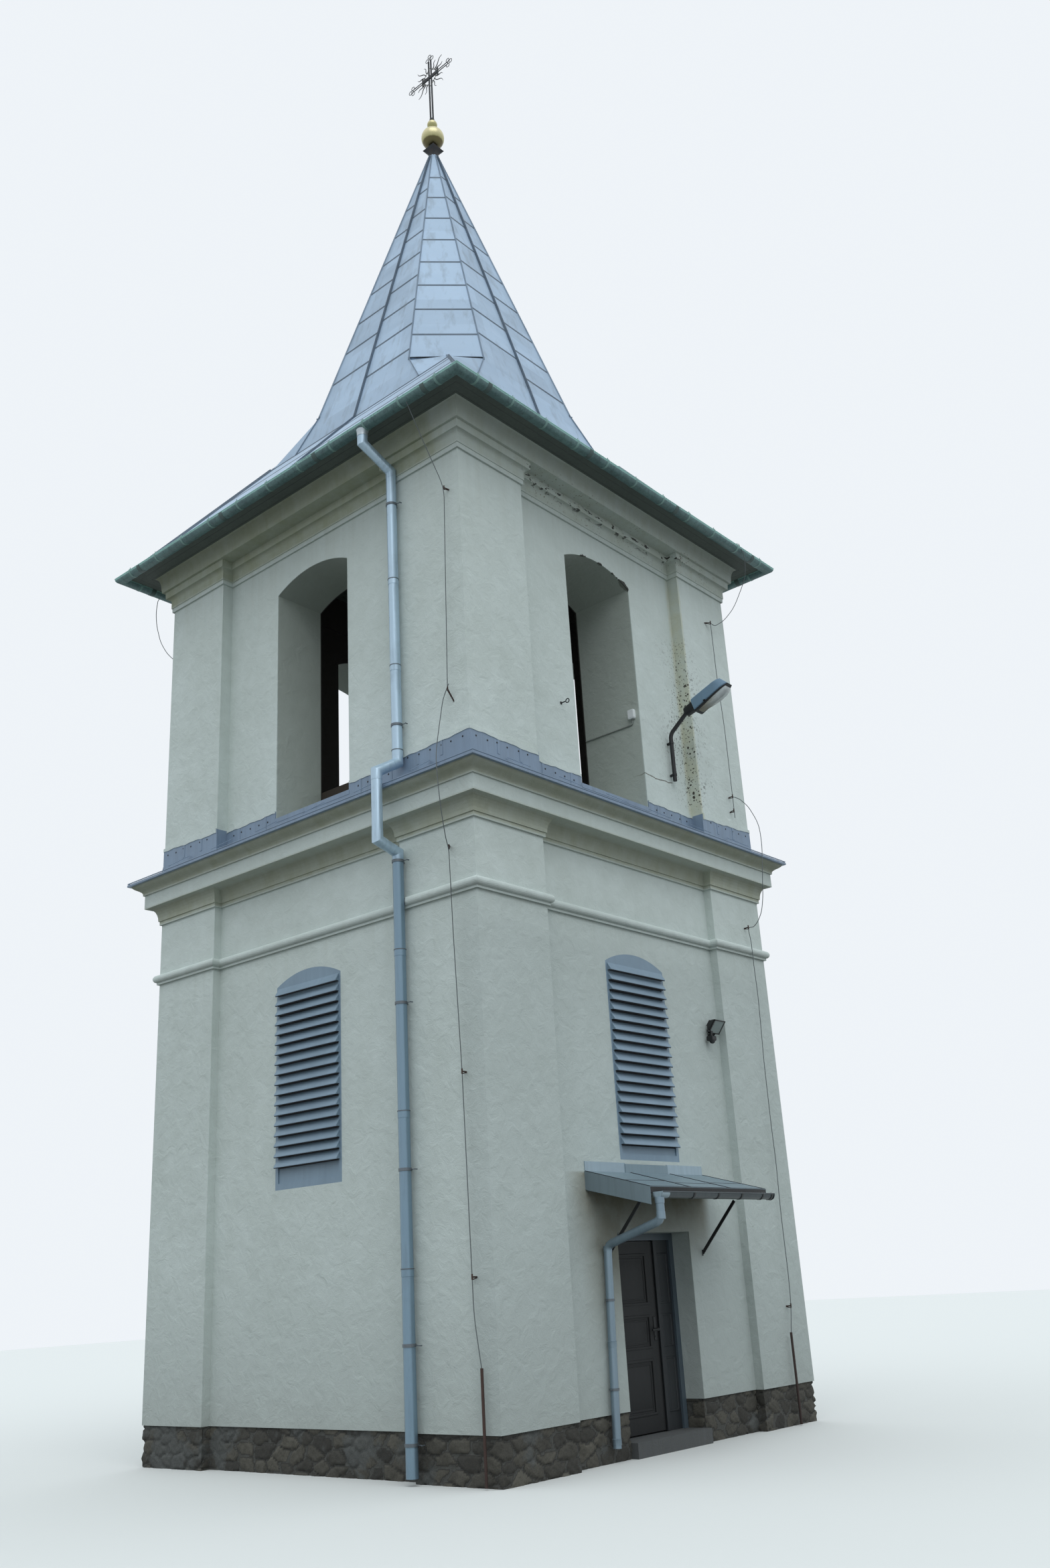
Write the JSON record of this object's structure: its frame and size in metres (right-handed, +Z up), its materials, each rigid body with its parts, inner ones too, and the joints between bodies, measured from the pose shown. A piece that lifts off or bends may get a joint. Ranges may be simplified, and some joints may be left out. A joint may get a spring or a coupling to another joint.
{
  "type": "bell tower",
  "caption": "Square plastered bell tower with corner piers, cornices, arched belfry openings, slatted windows, canopied door and an octagonal sheet-metal spire with ball and cross.",
  "frame": {"origin": "on the ground under the middle of the square plan", "axes": "+Z up; the door face looks along -Y, the face with the main downpipe looks along -X"},
  "size_m": [6.47, 6.741, 20.6016],
  "materials": {
    "plaster": "rough cream-white lime plaster",
    "rubble_stone": "rubble stone with concrete patches",
    "concrete": "rough concrete",
    "ledge_sheet": "weathered blue-grey sheet",
    "timber": "old dark timber",
    "soffit_boards": "dark grey-green paint",
    "roof_sheet": "weathered galvanised sheet with standing seams",
    "gutter_paint": "worn green paint",
    "downpipe_sheet": "weathered galvanised sheet",
    "slat_paint": "matt grey-blue paint",
    "door_paint": "anthracite paint",
    "side_leaf_paint": "anthracite paint",
    "frame_paint": "grey-blue paint",
    "canopy_sheet": "grey-blue sheet",
    "canopy_gutter_sheet": "weathered grey sheet",
    "iron": "dark forged iron",
    "gilt": "dull gilt",
    "lamp_paint": "grey-blue paint",
    "black_metal": "black paint",
    "box_plastic": "off-white plastic",
    "conductor_wire": "dark wire"
  },
  "bodies": {
    "tower": {"belfry_floor": "timber", "belfry_rails": "timber", "canopy": "canopy_sheet", "canopy_gutter": "canopy_gutter_sheet", "conductor_front": "conductor_wire", "conductor_left": "conductor_wire", "door_frame": "frame_paint", "doorstep": "concrete", "downpipe": "downpipe_sheet", "eaves_gutter": "gutter_paint", "eaves_soffit": "soffit_boards", "finial_ball": "gilt", "finial_collar": "iron", "floodlight": "black_metal", "ground_floor": "concrete", "junction_box": "box_plastic", "ledge_flashing": "ledge_sheet", "louvre_back": "slat_paint", "louvre_front": "slat_paint", "louvre_left": "slat_paint", "louvre_right": "slat_paint", "lower_cornice": "plaster", "lower_wall_back": "plaster", "lower_wall_door_left": "plaster", "lower_wall_door_right": "plaster", "lower_wall_left": "plaster", "lower_wall_over_door": "plaster", "lower_wall_right": "plaster", "plinth_back": "rubble_stone", "plinth_front_left": "rubble_stone", "plinth_front_right": "rubble_stone", "plinth_left": "rubble_stone", "plinth_right": "rubble_stone", "roof_cross": "iron", "roof_skirt": "roof_sheet", "roof_spire": "roof_sheet", "side_leaf": "side_leaf_paint", "street_lamp": "lamp_paint", "string_course": "plaster", "upper_cornice": "plaster", "upper_wall_back": "plaster", "upper_wall_front": "plaster", "upper_wall_left": "plaster", "upper_wall_right": "plaster"},
    "door": {"door_leaf": "door_paint"}
  },
  "joints": [
    {"name": "door_hinge", "type": "hinge", "parent": "tower", "child": "door", "pos_m": [-0.599, -2.229, 1.1], "axis": [0, 0, 1], "range_deg": [0, 95]}
  ]
}
